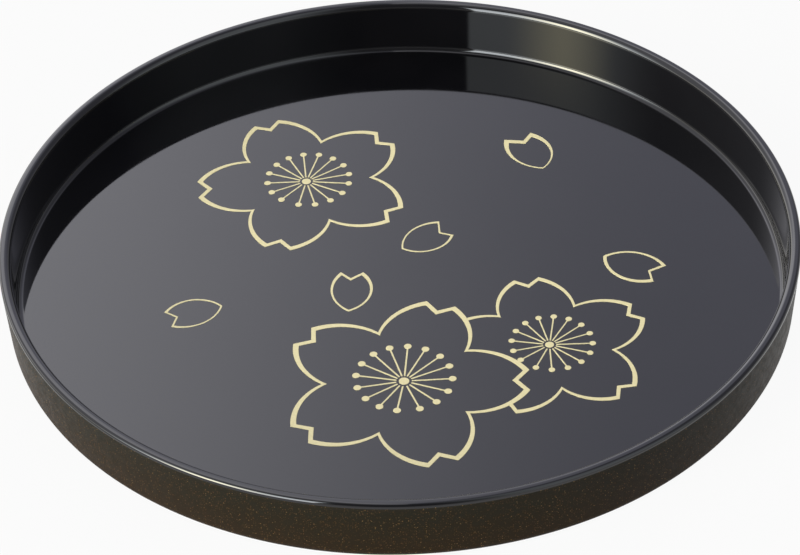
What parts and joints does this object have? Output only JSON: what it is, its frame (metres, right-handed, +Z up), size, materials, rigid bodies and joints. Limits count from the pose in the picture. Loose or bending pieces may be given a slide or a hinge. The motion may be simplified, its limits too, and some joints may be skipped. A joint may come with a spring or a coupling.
{
  "type": "round serving tray",
  "caption": "Round low-walled serving tray, gloss black inside and over the rolled rim, speckled brown outside, with a gold line print of blossoms and loose petals on the floor.",
  "frame": {"origin": "bottom centre of the tray, on the surface that it stands on", "axes": "+Z up out of the open side; +Y across the tray from the overlapping pair of blossoms towards the single blossom at the back"},
  "size_m": [0.303, 0.303, 0.027],
  "materials": {
    "moulded_resin": "moulded, matt",
    "black_lacquer": "high gloss black lacquer",
    "speckled_lacquer": "semi-gloss dark brown lacquer with fine gold and rust specks",
    "underside_lacquer": "satin black lacquer",
    "gold_print": "pale gold screen print"
  },
  "bodies": {
    "root": {"tray_moulding": "moulded_resin", "black_lacquer": "black_lacquer", "speckled_lacquer": "speckled_lacquer", "underside_lacquer": "underside_lacquer", "left_blossom_outline": "gold_print", "front_blossom_outline": "gold_print", "right_blossom_outline": "gold_print", "left_blossom_stamens": "gold_print", "front_blossom_stamens": "gold_print", "right_blossom_stamens": "gold_print", "left_blossom_centre": "gold_print", "front_blossom_centre": "gold_print", "right_blossom_centre": "gold_print", "loose_petal_back": "gold_print", "loose_petal_right": "gold_print", "loose_petal_front": "gold_print", "loose_petal_left": "gold_print", "loose_petal_middle": "gold_print"}
  },
  "joints": []
}
